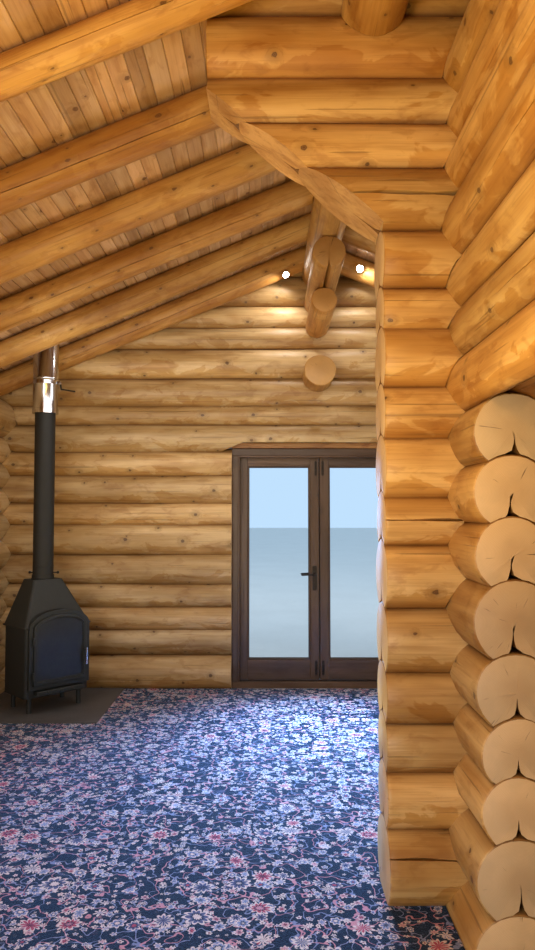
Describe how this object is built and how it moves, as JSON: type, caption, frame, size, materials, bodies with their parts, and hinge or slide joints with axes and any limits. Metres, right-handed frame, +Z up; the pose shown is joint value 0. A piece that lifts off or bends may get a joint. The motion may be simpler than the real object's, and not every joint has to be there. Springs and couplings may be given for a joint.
{
  "type": "log cabin",
  "caption": "Hollow log cabin of scribed round logs with saddle-notched corners, pole rafters, a stove and glazed double doors that open outward.",
  "frame": {"origin": "centre of the cabin's footprint, at ground level", "axes": "+Z up, +Y towards the gable with the glazed doors, along the ridge, +X to the right for someone inside who faces those doors"},
  "size_m": [6.96, 8.7, 5.04],
  "materials": {
    "log_wood": "oiled pine",
    "ceiling_wood": "oiled pine boards",
    "trim_wood": "stained",
    "door_wood": "dark stain",
    "glass": "clear",
    "carpet": "patterned pile",
    "concrete": "float-finished",
    "stone": "slate",
    "roof_core": "boards and insulation",
    "roof_cover": "bitumen shingles",
    "iron": "dark bronze",
    "stove_iron": "stove black",
    "flue_steel": "bright",
    "spot_steel": "satin"
  },
  "bodies": {
    "root": {"base_slab": "concrete", "carpet": "carpet", "left_wall": "log_wood", "right_wall": "log_wood", "door_wall_left": "log_wood", "door_wall_right": "log_wood", "door_wall_top": "log_wood", "rear_wall": "log_wood", "cross_wall": "log_wood", "cross_wall_top": "log_wood", "inner_wall_pier": "log_wood", "inner_wall_rear": "log_wood", "inner_wall_header": "log_wood", "door_wall_corbels": "log_wood", "rear_wall_corbels": "log_wood", "ridge_log": "log_wood", "left_rafters": "log_wood", "right_rafters": "log_wood", "left_ceiling": "ceiling_wood", "right_ceiling": "ceiling_wood", "left_roof_core": "roof_core", "right_roof_core": "roof_core", "left_roof_cover": "roof_cover", "right_roof_cover": "roof_cover", "left_fascia": "trim_wood", "right_fascia": "trim_wood", "door_gable_bargeboards": "trim_wood", "rear_gable_bargeboards": "trim_wood", "ridge_cap": "roof_cover", "door_frame": "door_wood", "door_sill": "door_wood", "door_head_trim": "log_wood", "frame_hinges": "iron", "hearth": "stone", "stove_body": "stove_iron", "stove_hood": "stove_iron", "stove_door": "stove_iron", "stove_pipe": "stove_iron", "flue": "flue_steel", "flue_cowl": "flue_steel", "spotlights": "spot_steel"},
    "left_leaf": {"left_door_leaf": "door_wood", "left_door_glass": "glass", "left_leaf_hinges": "iron", "lock_plates": "iron", "left_door_bolts": "iron"},
    "right_leaf": {"right_door_leaf": "door_wood", "right_door_glass": "glass", "right_leaf_hinges": "iron", "right_door_bolts": "iron"},
    "lever": {"door_lever": "iron"}
  },
  "joints": [
    {"name": "left_leaf_hinge", "type": "hinge", "parent": "root", "child": "left_leaf", "pos_m": [-0.7025, 3.818, 1.16], "axis": [0, 0, 1], "range_deg": [0, 90]},
    {"name": "right_leaf_hinge", "type": "hinge", "parent": "root", "child": "right_leaf", "pos_m": [0.7425, 3.818, 1.16], "axis": [0, 0, -1], "range_deg": [0, 90]},
    {"name": "lever_turn", "type": "hinge", "parent": "left_leaf", "child": "lever", "pos_m": [-0.023, 3.78, 1.14], "axis": [0, -1, 0], "range_deg": [0, 40], "stiffness_Nm_per_rad": 0.6, "springref_deg": -40.11}
  ]
}
